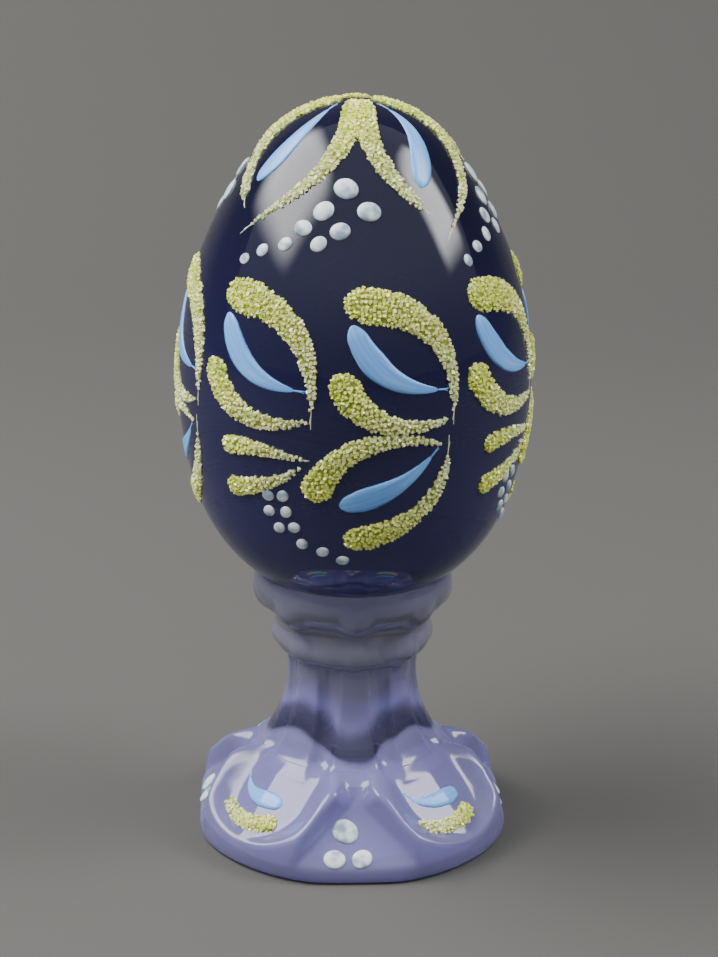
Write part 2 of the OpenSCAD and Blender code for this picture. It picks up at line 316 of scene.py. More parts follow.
# %% Pedestal field
NECK_R, NECK_Z, FLARE_R = 7.85, 20.2, 15.6
COLLAR_Z = NECK_Z + 4.4
BEAD_OUT, BEAD_R = 7.35, 2.15
CUP_OUT, CUP_Z, CUP_R = 8.1, 31.4, 3.8
CUP_LOBE_OUT, CUP_LOBE_Z, CUP_LOBE_R = 8.9, 30.3, 3.1
DOME_OUT, DOME_Z, DOME_R = 11.4, 2.3, 8.3
FOOT_FLAT, BAND_H = 18.9, 2.1
PANEL_SLOPE, PANEL_BEVEL = math.radians(48), math.radians(38)
PANEL_START, PANEL_RISE, PANEL_HALF = 18.7, 8.2, 7.5
VALLEY_OUT, VALLEY_Z, VALLEY_RUN, VALLEY_DROP, VALLEY_R = 9.5, 13.8, 4.5, 3.5, 1.7
BOWL_R, BOWL_OUT, BOWL_Z, BOWL_LONG, BOWL_WIDE = 12.0, 21.7, 15.4, 3.6, 1.22
LEAF_DEPTH, LEAF_LEAN, LEAF_TILT = 10.2, math.radians(46), math.radians(12)
BOARD_OUT, BOARD_Z, BOARD_LEAN = 16.9, 8.7, math.radians(39)
RECESS_R, RECESS_DEPTH = 12.0, 0.8


def join(a, b, soft):
    """Smooth minimum: both shapes, with a fillet of about soft millimetres between them."""
    mix = np.clip(0.5 + 0.5 * (b - a) / soft, 0, 1)
    return b * (1 - mix) + a * mix - soft * mix * (1 - mix)


def cut(a, b, soft):
    """Shape a without shape b, with a rounded edge."""
    return -join(-a, b, soft)


def folded(x, y, count, start=0.0):
    """Sideways and outward distance, repeated count times around the axis."""
    step = 2 * math.pi / count
    angle = np.arctan2(x, -y) - start
    angle = (angle + step / 2) % step - step / 2
    r = np.hypot(x, y)
    return r * np.sin(angle), r * np.cos(angle)


def stem_field(x, y, z):
    """Fluted stem, collar bead and lobed cup."""
    r = np.hypot(x, y)
    side, out = folded(x, y, 8)
    gap_side, gap_out = folded(x, y, 8, math.pi / 8)
    stem = np.maximum(FLARE_R - np.hypot(r - NECK_R - FLARE_R, z - NECK_Z), np.abs(z - 15.3) - 9.3)
    stem = np.maximum(stem, r - 12.2)
    groove = np.hypot(np.hypot(gap_out - NECK_R - FLARE_R, z - NECK_Z) - (FLARE_R - 1.3), gap_side) - 2.0
    stem = cut(stem, groove, 0.3)
    bead = np.hypot(np.maximum(r - BEAD_OUT, 0), z - COLLAR_Z) - BEAD_R
    bead_lobes = np.sqrt((out - 7.6) ** 2 + side ** 2 + (z - COLLAR_Z) ** 2) - BEAD_R
    neck = np.maximum(r - 9.25, np.abs(z - 28) - 3.5)
    cup = np.hypot(np.maximum(r - CUP_OUT, 0), z - CUP_Z) - CUP_R
    cup_lobes = np.sqrt((out - CUP_LOBE_OUT) ** 2 + side ** 2 + (z - CUP_LOBE_Z) ** 2) - CUP_LOBE_R
    top = join(join(cup, cup_lobes, 0.4), neck, 0.4)
    collar = join(bead, bead_lobes, 0.5)
    return join(join(top, collar, 0.4), stem, 0.5)


def hollow_field(x, y, z):
    """What is taken out of a petal: a long bowl. On its floor lies a leaf of two flat faces
    that slope away from a midrib."""
    side, out = folded(x, y, 4, math.pi / 4)
    uphill = (z - BOWL_Z) * math.cos(LEAF_LEAN) - (out - BOWL_OUT) * math.sin(LEAF_LEAN)
    above = (out - BOWL_OUT) * math.cos(LEAF_LEAN) + (z - BOWL_Z) * math.sin(LEAF_LEAN)
    length = uphill - np.clip(uphill, 0, BOWL_LONG)
    bowl = np.sqrt((side / BOWL_WIDE) ** 2 + length ** 2 + above ** 2) - BOWL_R
    leaf = (above + LEAF_DEPTH) * math.cos(LEAF_TILT) + np.hypot(side, 0.14) * math.sin(LEAF_TILT)
    return cut(bowl, leaf, 0.3)


def foot_field(x, y, z):
    """Domed foot with four hollow petals and four triangular panels. A valley runs down from
    the stem to the tip of each panel, and a shallow recess is ground into the underside."""
    r = np.hypot(x, y)
    side, out = folded(x, y, 4)
    dome = np.hypot(np.maximum(r - DOME_OUT, 0), z - DOME_Z) - DOME_R
    height = (out - PANEL_START) * math.sin(PANEL_SLOPE) + (z - BAND_H) * math.cos(PANEL_SLOPE)
    slope = -(out - PANEL_START) * math.cos(PANEL_SLOPE) + (z - BAND_H) * math.sin(PANEL_SLOPE)
    ratio = PANEL_HALF / PANEL_RISE
    edge = (np.abs(side) + (slope - PANEL_RISE) * ratio) / math.hypot(1, ratio)
    panel = np.maximum(-height, edge * math.cos(PANEL_BEVEL) - height * math.sin(PANEL_BEVEL))
    foot = cut(dome, panel, 0.7)
    lean_in = 0.8 * (x / np.maximum(r, 0.1)) ** 2 * np.clip(1 - z / 2.4, 0, 1)
    foot = cut(foot, FOOT_FLAT - lean_in - out, 0.5)
    along = (out - VALLEY_OUT) * VALLEY_RUN + (VALLEY_Z - z) * VALLEY_DROP
    along = np.clip(along / (VALLEY_RUN ** 2 + VALLEY_DROP ** 2), 0, 1)
    valley = np.sqrt((out - VALLEY_OUT - VALLEY_RUN * along) ** 2
                     + (z - VALLEY_Z + VALLEY_DROP * along) ** 2 + side ** 2) - VALLEY_R
    foot = cut(foot, valley, 1.4)
    foot = cut(foot, hollow_field(x, y, z), 0.7 + 0.8 * np.clip((z - 8) / 3, 0, 1))
    ball = (RECESS_R ** 2 + RECESS_DEPTH ** 2) / (2 * RECESS_DEPTH)
    foot = cut(foot, z, 0.9)
    return cut(foot, np.sqrt(r ** 2 + (z - RECESS_DEPTH + ball) ** 2) - ball, 0.2)


def pedestal_field(x, y, z):
    """Negative inside the pedestal's glass, positive outside."""
    return join(stem_field(x, y, z), foot_field(x, y, z), 0.8)


# %% Pedestal rays
# Each row of the net is one ray per direction around the axis. A row is given by where its rays
# start, as radius and height, and by how many degrees they rise. STEPS says how many rows lie
# between one of these and the next. COLUMNS is a multiple of 16, so that a column of points
# runs along every midrib, flute and lobe.
ROWS = [(0.5, SEAM_Z, 0), (0.5, 27.5, 0), (0.5, 22.0, 0), (0.5, 17.0, 0), (2.0, 11.0, 12), (4.5, 6.0, 38),
        (7.0, 3.0, 62), (8.0, 2.2, 58), (9.0, 2.0, 40), (9.5, 2.0, 22), (10.0, 2.0, 8), (10.0, 2.0, -3),
        (10.0, 2.0, -13), (10.0, 2.5, -35), (9.0, 3.0, -75), (6.0, 3.0, -90), (0.5, 3.0, -90)]
STEPS = [30, 30, 20, 24, 22, 20, 20, 30, 32, 26, 18, 12, 8, 4, 2, 4]
COLUMNS = 320
RAY_REACH = 24.0
NEAR = 0.4


def halved(low, high, is_glass, rounds):
    """Narrows down the distance where the glass ends. It is glass at low, and clear at high."""
    for _ in range(rounds):
        middle = (low + high) / 2
        solid = is_glass(middle)
        low, high = np.where(solid, middle, low), np.where(solid, high, middle)
    return low


def ray_rows():
    """Start radius, start height and rise angle of every row, eased between the given ones."""
    spread = []
    for (a, b), count in zip(zip(ROWS[:-1], ROWS[1:]), STEPS):
        for i in range(count):
            spread.append([p + (q - p) * i / count for p, q in zip(a, b)])
    return np.array(spread + [list(ROWS[-1])])


def trace(rows):
    """Follows every ray inwards from outside and stops at the glass."""
    r0, z0, rise = [rows[:, i][:, None] for i in range(3)]
    rise = np.radians(rise)
    angle = np.linspace(0, 2 * math.pi, COLUMNS, endpoint=False)[None, :]

    def field_at(t):
        r = r0 + t * np.cos(rise)
        return pedestal_field(r * np.sin(angle), -r * np.cos(angle), z0 + t * np.sin(rise))

    reach = np.full((len(rows), COLUMNS), RAY_REACH)
    free = np.ones_like(reach, bool)
    for _ in range(160):
        gap = field_at(reach)
        free &= gap > 0.02
        reach = np.where(free, reach - np.clip(gap * 0.6, 0.02, 1.0), reach)
    end = halved(np.maximum(reach - NEAR, 0), reach + NEAR, lambda t: field_at(t) < 0, 24)
    r = r0 + end * np.cos(rise)
    return np.stack([r * np.sin(angle), -r * np.cos(angle), z0 + end * np.sin(rise)], -1)


# %% Pedestal piece
# The top reaches a little way up into the egg, so that no film of air shows at the seam. The
# faces below are ground matt.
OVERLAP = 0.1
net = trace(ray_rows())
net[0, :, 2] = SEAM_Z
rim = net[0] + np.array([0, 0, OVERLAP])
rim[:, :2] *= 0.985
ped_points = np.concatenate([rim[None], net]).reshape(-1, 3)
ped_points = np.concatenate([ped_points, [[0, 0, SEAM_Z + OVERLAP], [0, 0, RECESS_DEPTH]]])
ped_rows = len(net) + 1
ped_faces = [face[::-1] for face in ring_faces(ped_rows, COLUMNS)]
ped_faces += cap_faces(0, COLUMNS, len(ped_points) - 2)
ped_faces += cap_faces(ped_rows - 1, COLUMNS, len(ped_points) - 1, flip=True)
pedestal = make_mesh("pedestal_glass", ped_points, ped_faces, lilac_glass)
pedestal.data.materials.append(ground_base)
for face in pedestal.data.polygons:
    in_recess = face.center.z < RECESS_DEPTH * MM and face.center.xy.length < RECESS_R * MM
    if in_recess or face.center.z < 0.03 * MM:
        face.material_index = 1
dress(pedestal, "lilac_glass", "pedestal")
print("pedestal faces:", len(ped_faces))

# %% [markdown]
# ## Brush strokes
#
# Every stroke is drawn flat first, as a curve with a width: a round head where the brush lands
# and a thin tail where it lifts. It is then laid on the glass. On the egg, each motif has its
# own little drawing board that touches the glass at one point, and the drawing is pressed
# straight onto the egg along the board's normal.

# %% Drawing boards


def turned(points, degrees):
    """Points turned about the upright axis."""
    a = math.radians(degrees)
    x, y, z = np.asarray(points, float).T
    return np.stack([x * math.cos(a) - y * math.sin(a), x * math.sin(a) + y * math.cos(a), z], 1)


def board(turn, start, lean, settle):
    """A drawing board at start that leans back. Flat points drawn on it are settled onto the
    glass, lifted off it by a little and turned about the upright axis."""
    up = np.array([0, math.sin(lean), math.cos(lean)])
    out = np.array([0, -math.cos(lean), math.sin(lean)])

    def place(flat, lift):
        drawn = np.array(start) + flat[:, :1] * np.array([1, 0, 0]) + flat[:, 1:] * up
        points, normals = settle(drawn, out)
        return turned(points + normals * lift[:, None], turn), turned(normals, turn)

    return place


def settle_on_egg(drawn, out):
    """Presses points straight onto the egg."""
    def is_glass(t):
        p = drawn + t[:, None] * out
        return np.hypot(p[:, 0], p[:, 1]) < egg_radius(p[:, 2])

    end = halved(np.full(len(drawn), -9.0), np.full(len(drawn), 5.0), is_glass, 30)
    points = drawn + end[:, None] * out
    return points, egg_normal(points)


def settle_in_petal(drawn, out):
    """Presses points straight into a petal's hollow, wherever the foot's field is zero."""
    def field(points):
        p = turned(points, 45)
        return foot_field(p[:, 0], p[:, 1], p[:, 2])

    end = halved(np.full(len(drawn), -5.0), np.full(len(drawn), 2.5),
                 lambda t: field(drawn + t[:, None] * out) < 0, 24)
    points = drawn + end[:, None] * out
    nudges = np.eye(3) * 0.15
    slope = np.stack([field(points + step) - field(points - step) for step in nudges], 1)
    return points, slope / np.linalg.norm(slope, axis=1, keepdims=True)


def settle_flat(drawn, out):
    """Leaves points where they are drawn, on a face that is flat already."""
    return drawn, np.repeat(out[None], len(drawn), 0)


def egg_board(turn, lean, z):
    """A board that touches the egg at height z and leans back by lean degrees."""
    return board(turn, [0, -float(egg_radius(z)), z], math.radians(lean), settle_on_egg)


def petal_board(turn):
    """A board over the hollow of one petal."""
    return board(turn, [0, -BOARD_OUT, BOARD_Z], BOARD_LEAN, settle_in_petal)


def panel_board(turn):
    """A board on one triangular panel."""
    return board(turn, [0, -PANEL_START, BAND_H], math.pi / 2 - PANEL_SLOPE, settle_flat)


# %% One stroke
STROKE_ROWS, STROKE_TOP = 44, 9


def stroke_outline(curve, width, tail, belly):
    """Middle line, sideways direction and half width. belly is where the stroke is widest."""
    p = np.array(curve, float)
    t = np.linspace(0.004, 1, STROKE_ROWS) ** 1.15
    s = t[:, None]
    middle = (1 - s) ** 3 * p[0] + 3 * s * (1 - s) ** 2 * p[1] + 3 * s ** 2 * (1 - s) * p[2] + s ** 3 * p[3]
    ahead = np.gradient(middle, axis=0)
    ahead /= np.linalg.norm(ahead, axis=1, keepdims=True)
    side = np.stack([-ahead[:, 1], ahead[:, 0]], 1)
    head = np.sqrt(1 - (1 - np.minimum(t / 0.12, 1)) ** 2)
    swell = 1 - 0.4 * (1 - np.sin(math.pi / 2 * np.minimum(t / max(belly, 0.01), 1))) * (belly > 0)
    fade = 1 - (1 - tail) * (np.maximum(t - belly, 0) / (1 - belly)) ** 1.5
    half = width / 2 * head * swell * fade
    end = np.clip((1 - t) / 0.06, 0, 1) ** 0.5
    return t, middle, side, np.maximum(half * np.maximum(end, 0.3), 0.06)


def stroke(curve, width, tail, height, place, belly=0.0, wobble=0.0, seed=0):
    """Points, faces and along-the-stroke coordinates of one raised stroke, closed all round."""
    t, middle, side, half = stroke_outline(curve, width, tail, belly)
    rng = np.random.default_rng(seed)
    across = np.linspace(-1, 1, STROKE_TOP)
    loop = np.concatenate([across, across[-2:0:-1]])
    top = np.arange(len(loop)) < STROKE_TOP
    ragged = 1 + wobble * np.convolve(rng.normal(size=STROKE_ROWS + 4), np.ones(5) / 5, "valid")
    flat = middle[:, None, :] + side[:, None, :] * (half * ragged)[:, None, None] * loop[None, :, None]
    swell = np.minimum(half / (0.35 * width), 1)[:, None]
    lift = np.where(top, height * swell * (1 - loop ** 4) ** 0.6, 0) - 0.05
    points, _ = place(flat.reshape(-1, 2), lift.reshape(-1))
    length = np.concatenate([[0], np.cumsum(np.linalg.norm(np.diff(middle, axis=0), axis=1))])
    uv = np.stack([np.repeat(length, len(loop)), (half[:, None] * loop).ravel()], 1)
    ends, _ = place(middle[[0, -1]], np.array([-0.04, -0.04]))
    n = len(points)
    points, uv = np.concatenate([points, ends]), np.concatenate([uv, uv[[0, -1]]])
    faces = ring_faces(STROKE_ROWS, len(loop))
    faces += cap_faces(0, len(loop), n, flip=True) + cap_faces(STROKE_ROWS - 1, len(loop), n + 1)
    return points, [face[::-1] for face in faces], uv


def hair(curve, reach, bend):
    """The curve of a hair-thin line, where the last bristles leave the glass after a stroke."""
    end, before = np.array(curve[3], float), np.array(curve[2], float)
    ahead = (end - before) / np.linalg.norm(end - before)
    side = np.array([-ahead[1], ahead[0]]) * bend
    return [end - 0.6 * ahead, end + 0.2 * reach * ahead, end + 0.6 * reach * ahead + 0.3 * side,
            end + reach * ahead + side]


def merged(parts):
    """Several strokes as one set of points, faces and coordinates."""
    points, faces, uv, offset = [], [], [], 0
    for p, f, u in parts:
        points.append(p)
        uv.append(u)
        faces += [tuple(i + offset for i in face) for face in f]
        offset += len(p)
    return np.concatenate(points), faces, np.concatenate(uv)


# %% [markdown]
# ## Glass frit
#
# Crushed glass is sprinkled on wet enamel and fired, so a stroke looks like sparkling sugar.
# Hundreds of grains call for Geometry Nodes: points are scattered on the raised stroke at a
# least distance, and each gets one grain, a cube of uneven size turned any way. Flat faces and
# sharp edges make the grains glint one by one, as broken glass does.

# %% Frit glass


def frit_glass(name, gap, thin, core, pale):
    """Cloudy glass grains. Where the frit lies thick it is yellow-green, where it is thin the
    grains are nearly clear, and the fired bed that shows in the gaps is darker."""
    material, tree, out = new_material(name)
    coords = add(tree, "ShaderNodeTexCoord")
    grain = add(tree, "ShaderNodeAttribute", attribute_name="grain")
    thick = add(tree, "ShaderNodeAttribute", attribute_name="thick")
    patches = add(tree, "ShaderNodeTexNoise", {"Scale": 1 / (0.4 * MM), "Detail": 2},
                  {"Vector": coords.outputs["Object"]})
    tint = add(tree, "ShaderNodeValToRGB", links={"Fac": patches.outputs["Fac"]})
    tint.color_ramp.elements[0].position = 0.36
    tint.color_ramp.elements[0].color = srgb(core)
    tint.color_ramp.elements[1].position = 0.62
    tint.color_ramp.elements[1].color = srgb(pale)
    body = add(tree, "ShaderNodeMix", {"A": srgb(thin)}, {"Factor": thick.outputs["Fac"]},
               data_type="RGBA")
    tree.links.new(tint.outputs["Color"], body.inputs["B"])
    whole = add(tree, "ShaderNodeMix", {"A": srgb(gap)}, {"Factor": grain.outputs["Fac"]},
                data_type="RGBA")
    tree.links.new(body.outputs["Result"], whole.inputs["B"])
    shader = add(tree, "ShaderNodeBsdfPrincipled",
                 {"Roughness": 0.08, "IOR": 1.5}, {"Base Color": whole.outputs["Result"]})
    tree.links.new(shader.outputs["BSDF"], out.inputs["Surface"])
    return material


grain_glass = frit_glass("yellow-green frit glass", "#98a33a", "#eef2cc", "#deeb3c", "#fdffa2")

# %% Frit scatter tree


def grain_tree():
    """Geometry Nodes: the stroke itself plus one grain on each scattered point."""
    tree = bpy.data.node_groups.new("frit grains", "GeometryNodeTree")
    face = tree.interface
    face.new_socket("Stroke", in_out="INPUT", socket_type="NodeSocketGeometry")
    for label, kind, value in [("Grain size", "NodeSocketFloat", 0.4 * MM),
                               ("Least distance", "NodeSocketFloat", 0.34 * MM),
                               ("Seed", "NodeSocketInt", 0),
                               ("Frit glass", "NodeSocketMaterial", None)]:
        socket = face.new_socket(label, in_out="INPUT", socket_type=kind)
        if value is not None:
            socket.default_value = value
    face.new_socket("Frit", in_out="OUTPUT", socket_type="NodeSocketGeometry")
    into, out = add(tree, "NodeGroupInput"), add(tree, "NodeGroupOutput")
    crowd = add(tree, "GeometryNodeInputNamedAttribute", {"Name": "crowd"}, data_type="FLOAT")
    spots = add(tree, "GeometryNodeDistributePointsOnFaces", {"Density Max": 2.2e7},
                {"Mesh": into.outputs["Stroke"], "Distance Min": into.outputs["Least distance"],
                 "Density Factor": crowd.outputs["Attribute"], "Seed": into.outputs["Seed"]},
                distribute_method="POISSON")
    grain = add(tree, "GeometryNodeMeshCube", links={"Size": into.outputs["Grain size"]})
    size = add(tree, "FunctionNodeRandomValue", {"Min": (0.7, 0.7, 0.6), "Max": (1.15, 1.1, 1.0)},
               {"Seed": into.outputs["Seed"]}, data_type="FLOAT_VECTOR")
    spin = add(tree, "FunctionNodeRandomValue", {"Min": (0, 0, 0), "Max": (6.28, 6.28, 6.28)},
               {"Seed": into.outputs["Seed"]}, data_type="FLOAT_VECTOR")
    grains = add(tree, "GeometryNodeInstanceOnPoints",
                 links={"Points": spots.outputs["Points"], "Instance": grain.outputs["Mesh"],
                        "Rotation": spin.outputs["Value"], "Scale": size.outputs["Value"]})
    marked = add(tree, "GeometryNodeStoreNamedAttribute", {"Name": "grain", "Value": 1.0},
                 {"Geometry": grains.outputs["Instances"]}, data_type="FLOAT", domain="INSTANCE")
    both = add(tree, "GeometryNodeJoinGeometry", links={"Geometry": marked.outputs["Geometry"]})
    tree.links.new(into.outputs["Stroke"], both.inputs["Geometry"])
    real = add(tree, "GeometryNodeRealizeInstances", links={"Geometry": both.outputs["Geometry"]})
    glaze = add(tree, "GeometryNodeSetMaterial",
                links={"Geometry": real.outputs["Geometry"], "Material": into.outputs["Frit glass"]})
    tree.links.new(glaze.outputs["Geometry"], out.inputs["Frit"])
    return tree


def grown(piece, tree, **inputs):
    """Runs a tree on a piece and returns the result as a plain mesh piece of the same name."""
    modifier = piece.modifiers.new("grow", "NODES")
    modifier.node_group = tree
    named = {s.name: s.identifier for s in tree.interface.items_tree if s.in_out == "INPUT"}
    for label, value in inputs.items():
        modifier[named[label.replace("_", " ")]] = value
    graph = bpy.context.evaluated_depsgraph_get()
    mesh = bpy.data.meshes.new_from_object(piece.evaluated_get(graph), depsgraph=graph)
    name = piece.name
    bpy.data.objects.remove(piece)
    mesh.name = name
    result = bpy.data.objects.new(name, mesh)
    bpy.context.scene.collection.objects.link(result)
    return result


frit_tree = grain_tree()
FRIT_HEIGHT, HAIR_WIDTH, HAIR_HEIGHT = 0.27, 0.14, 0.07
FRIT_HAIRS = [(1.0, 0.08), (0.65, -0.1)]


def frit_piece(name, strokes, place, seed):
    """One frit motif: its raised strokes, their hair-thin tails, and the grains on them. Three
    attributes go with the points: crowd is how many grains lie there, thick is how deep the
    frit is, and grain tells a grain, 1, from the bed below it, 0."""
    parts, crowd, thick, grain = [], [], [], []
    loop = 2 * STROKE_TOP - 2
    top = np.tile(np.arange(loop) < STROKE_TOP, STROKE_ROWS).astype(float)
    along = np.repeat(np.linspace(0, 1, STROKE_ROWS), loop)
    for i, (curve, width, tail, reach) in enumerate(strokes):
        parts.append(stroke(curve, width, tail, FRIT_HEIGHT, place, wobble=0.05, seed=seed + i))
        crowd += [top, [0, 0]]
        thick += [np.clip(1.2 - 1.0 * along, 0.2, 1), [1, 0.1]]
        grain += [np.zeros(len(top) + 2)]
        for share, bend in FRIT_HAIRS if reach else []:
            parts.append(stroke(hair(curve, reach * share, bend), HAIR_WIDTH, 0.2, HAIR_HEIGHT, place))
            crowd += [np.zeros(len(top) + 2)]
            thick += [np.full(len(top) + 2, 0.1)]
            grain += [np.full(len(top) + 2, 0.8)]
    points, faces, uv = merged(parts)
    piece = make_mesh(name, points, faces, grain_glass, uv)
    for label, values in [("crowd", crowd), ("thick", thick), ("grain", grain)]:
        field = piece.data.attributes.new(label, "FLOAT", "POINT")
        field.data.foreach_set("value", np.concatenate(values).astype(np.float32))
    return grown(piece, frit_tree, Seed=seed, Frit_glass=grain_glass)


# %% [markdown]
# ## The four kinds of frit motif
#
# Each motif is a list of strokes: four points of the curve, the width of the head, how thick the
# tail stays, and how far a hair-thin line runs on past it. The crown, the bud and the sprig
# repeat every quarter turn, the leaf every eighth.

# %% Frit motifs
PATTERN_TURN = -2.5
CROWN_AT, BETWEEN_AT, LEAF_AT, BUD_AT, SPRIG_AT = [PATTERN_TURN + a for a in (0, 45, 12, 9, 55)]
CROWN_FRIT = [([[-0.3, 9.6], [0, 0.5], [-3.5, -4], [-11.5, -4.8]], 2.8, 0.1, 1.2),
              ([[0.5, 9.6], [0.6, 1.5], [2, -2.2], [7.4, -5]], 2.8, 0.4, 1.0)]
LEAF_FRIT = [([[-5, 11], [3, 11.5], [7.5, 7], [7, -0.8]], 3.8, 0.1, 1.6),
             ([[-5.8, 3.8], [-4.5, -1.5], [0.5, -3.2], [6.6, -1.6]], 3.4, 0.1, 0)]
BUD_FRIT = [([[-7.4, 4], [-6.5, 9.5], [-1, 13.5], [6.8, 10.4]], 3.2, 0.1, 0),
            ([[-3.9, -0.8], [2.5, 0], [7, 3.5], [7.4, 9]], 3.2, 0.1, 2.2)]
SPRIG_FRIT = [([[-3.4, 9.3], [-0.5, 10.1], [3, 9.9], [6.6, 8.9]], 2.1, 0.1, 0.8),
              ([[-3.2, 4.4], [-0.5, 5], [3.4, 5.8], [6.2, 7.9]], 2.3, 0.1, 0)]
FOOT_FRIT = [([[3, -2.2], [1, -3.4], [-3.2, -4], [-5.2, -1.4]], 2, 0.6, 0)]

MOTIFS = []
for k in range(4):
    MOTIFS.append((f"crown_frit_{k + 1}", CROWN_FRIT, egg_board(CROWN_AT + 90 * k, 55, 84)))
    MOTIFS.append((f"bud_frit_{k + 1}", BUD_FRIT, egg_board(BUD_AT + 90 * k, -15, 43)))
    MOTIFS.append((f"sprig_frit_{k + 1}", SPRIG_FRIT, egg_board(SPRIG_AT + 90 * k, -15, 43)))
    MOTIFS.append((f"foot_frit_{k + 1}", FOOT_FRIT, petal_board(45 + 90 * k)))
for k in range(8):
    MOTIFS.append((f"leaf_frit_{k + 1}", LEAF_FRIT, egg_board(LEAF_AT + 45 * k, 0, 58)))

frit_faces = 0
for number, (node, strokes, place) in enumerate(MOTIFS):
    piece = frit_piece(node[:-2] + "_grains" + node[-2:], strokes, place, seed=10 * number)
    dress(piece, "glass_frit", node)
    frit_faces += len(piece.data.polygons)
print("frit pieces:", len(MOTIFS), "faces:", frit_faces)

# %% [markdown]
# ## Blue enamel
#
# Fired enamel is opaque, glossy paint. The brush leaves fine streaks along the stroke, lighter
# where the paint is thin, so the material reads the stroke's own coordinates: millimetres along
# it and across it.

# %% Enamel paint


def brushed_enamel(name, deep, light, streak_mm):
    """Glossy enamel with streaks along the brush's path."""
    material, tree, out = new_material(name)
    along = add(tree, "ShaderNodeUVMap", uv_map="along")
    stretch = add(tree, "ShaderNodeMapping", {"Scale": (0.18, 1 / streak_mm, 1)},
                  {"Vector": along.outputs["UV"]})
    streaks = add(tree, "ShaderNodeTexNoise", {"Scale": 1.0, "Detail": 3},
                  {"Vector": stretch.outputs["Vector"]})
    blend = add(tree, "ShaderNodeValToRGB", links={"Fac": streaks.outputs["Fac"]})
    blend.color_ramp.elements[0].position = 0.3
    blend.color_ramp.elements[0].color = srgb(deep)
    blend.color_ramp.elements[1].position = 0.7
    blend.color_ramp.elements[1].color = srgb(light)
    bump = add(tree, "ShaderNodeBump", {"Strength": 0.35, "Distance": 0.00005},
               {"Height": streaks.outputs["Fac"]})
    shader = add(tree, "ShaderNodeBsdfPrincipled", {"Roughness": 0.3, "IOR": 1.5},
                 {"Base Color": blend.outputs["Color"], "Normal": bump.outputs["Normal"]})
    tree.links.new(shader.outputs["BSDF"], out.inputs["Surface"])
    return material


blue_enamel = brushed_enamel("sky blue fired enamel", "#5fa4ff", "#8cc6ff", 0.35)

# %% Blue strokes
ENAMEL_HEIGHT = 0.24
BRISTLES = [(0.9, 0.1), (0.6, -0.2)]
CROWN_BLUE = ([[-2.8, 0.6], [-0.8, 4], [0.8, 7], [0.2, 12]], 2.8, 0.1, 0.3)
LEAF_BLUE = ([[-4.3, 9], [-2.8, 4.5], [0, 1.9], [5.6, 1.7]], 3.1, 0.1, 0.35)
BUD_BLUE = ([[-4.6, 3.6], [-1, 5], [2.5, 5.8], [5.8, 9.6]], 3, 0.1, 0.3)
FOOT_BLUE = ([[2.6, 0.1], [0.6, 0.1], [-2.8, -0.8], [-4.4, 2]], 2.3, 0.1, 0.35)

PAINT = [(f"leaf_blue_{k + 1}", LEAF_BLUE, egg_board(LEAF_AT + 45 * k, 0, 58)) for k in range(8)]
for k in range(4):
    PAINT.append((f"crown_blue_{k + 1}", CROWN_BLUE, egg_board(BETWEEN_AT + 90 * k, 40, 80)))
    PAINT.append((f"bud_blue_{k + 1}", BUD_BLUE, egg_board(BUD_AT + 90 * k, -15, 43)))
    PAINT.append((f"foot_blue_{k + 1}", FOOT_BLUE, petal_board(45 + 90 * k)))
for number, (node, (curve, width, tail, belly), place) in enumerate(PAINT):
    parts = [stroke(curve, width, tail, ENAMEL_HEIGHT, place, belly, wobble=0.03, seed=number)]
    parts += [stroke(hair(curve, reach, bend), 0.25, 0.2, 0.1, place) for reach, bend in BRISTLES]
    points, faces, uv = merged(parts)
    piece = make_mesh(node[:-2] + "_paint" + node[-2:], points, faces, blue_enamel, uv)
    dress(piece, "blue_enamel", node)
print("blue strokes:", len(PAINT))

# %% [markdown]
# ## White dots
#
# A dot is a drop of thick enamel set down with the brush's end: a low dome, never quite round.
# Geometry Nodes set one dome on each marked point. The points carry two attributes: which way
# the glass faces there, and how large the drop is.

# %% Dot tree


